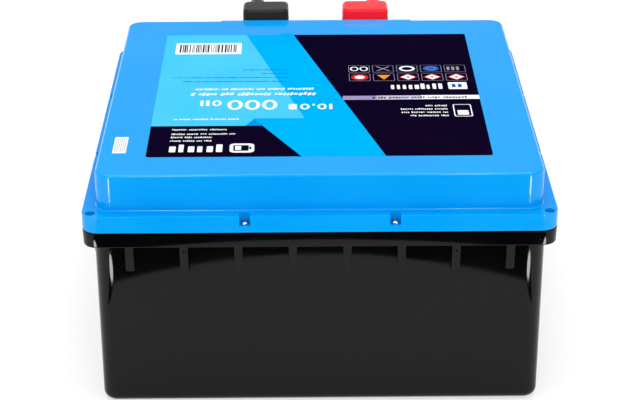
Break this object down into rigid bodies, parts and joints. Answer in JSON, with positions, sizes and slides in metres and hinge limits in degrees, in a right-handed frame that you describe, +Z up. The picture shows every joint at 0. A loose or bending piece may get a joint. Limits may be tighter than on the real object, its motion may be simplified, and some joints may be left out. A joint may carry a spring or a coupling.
{
  "type": "deep cycle battery",
  "caption": "Low, nearly square leisure battery: ribbed tub, screwed raised lid with label, and two terminals on a back shelf under lift-off covers with cable outlets.",
  "frame": {"origin": "centre of the flat underside of the tub, on the floor", "axes": "+Z up, out of the floor; +X to the right seen from the side without terminals; +Y away from that side, towards the terminals"},
  "size_m": [0.356, 0.3935, 0.2012],
  "materials": {
    "tub_plastic": "gloss moulded",
    "lid_plastic": "gloss moulded",
    "seal_rubber": "matt",
    "screw_steel": "zinc plated",
    "label_film": "printed film",
    "sticker_film": "printed film",
    "red_cover": "satin soft plastic",
    "black_cover": "satin soft plastic",
    "brass": "machined",
    "bolt_steel": "plain steel",
    "copper": "bare copper",
    "pad_foam": "foam",
    "cell_wrap": "aluminium can in a thin printed wrap",
    "spacer_card": "insulating board",
    "aluminium": "mill finish",
    "red_cable": "cable sheath",
    "black_cable": "cable sheath",
    "white_wire": "nylon and wire",
    "board_green": "solder mask",
    "black_resin": "moulded resin",
    "radio_blue": "solder mask"
  },
  "bodies": {
    "battery": {"case": "tub_plastic", "lid": "lid_plastic", "lid_gasket": "seal_rubber", "lid_screws": "screw_steel", "corner_screws": "screw_steel", "top_label": "label_film", "serial_sticker": "sticker_film", "positive_terminal": "brass", "negative_terminal": "brass", "terminal_washers": "bolt_steel", "terminal_spring_washers": "bolt_steel", "terminal_bolts": "bolt_steel", "positive_link": "copper", "negative_link": "copper", "link_screws": "screw_steel", "base_pad": "pad_foam", "top_pad": "pad_foam", "cell_1": "cell_wrap", "cell_2": "cell_wrap", "cell_3": "cell_wrap", "cell_4": "cell_wrap", "cell_spacers": "spacer_card", "end_plates": "aluminium", "cell_straps": "bolt_steel", "busbar_1": "aluminium", "busbar_2": "aluminium", "busbar_3": "aluminium", "busbar_nuts": "screw_steel", "cable_lugs": "copper", "positive_cable": "red_cable", "negative_cable": "black_cable", "output_cable": "black_cable", "bms_feet": "black_resin", "bms_heatsink": "aluminium", "bms_spacers": "brass", "bms_board": "board_green", "bms_transistors": "black_resin", "bms_cable_posts": "brass", "bms_screws": "screw_steel", "radio_module": "radio_blue", "balance_connector": "white_wire", "balance_harness": "white_wire", "temperature_sensor": "black_resin"},
    "positive_cover": {"positive_cover": "red_cover"},
    "negative_cover": {"negative_cover": "black_cover"}
  },
  "joints": [
    {"name": "positive_cover_lift", "type": "slide", "parent": "battery", "child": "positive_cover", "axis": [0, 0, 1], "range_m": [0, 0.045]},
    {"name": "negative_cover_lift", "type": "slide", "parent": "battery", "child": "negative_cover", "axis": [0, 0, 1], "range_m": [0, 0.045]}
  ]
}
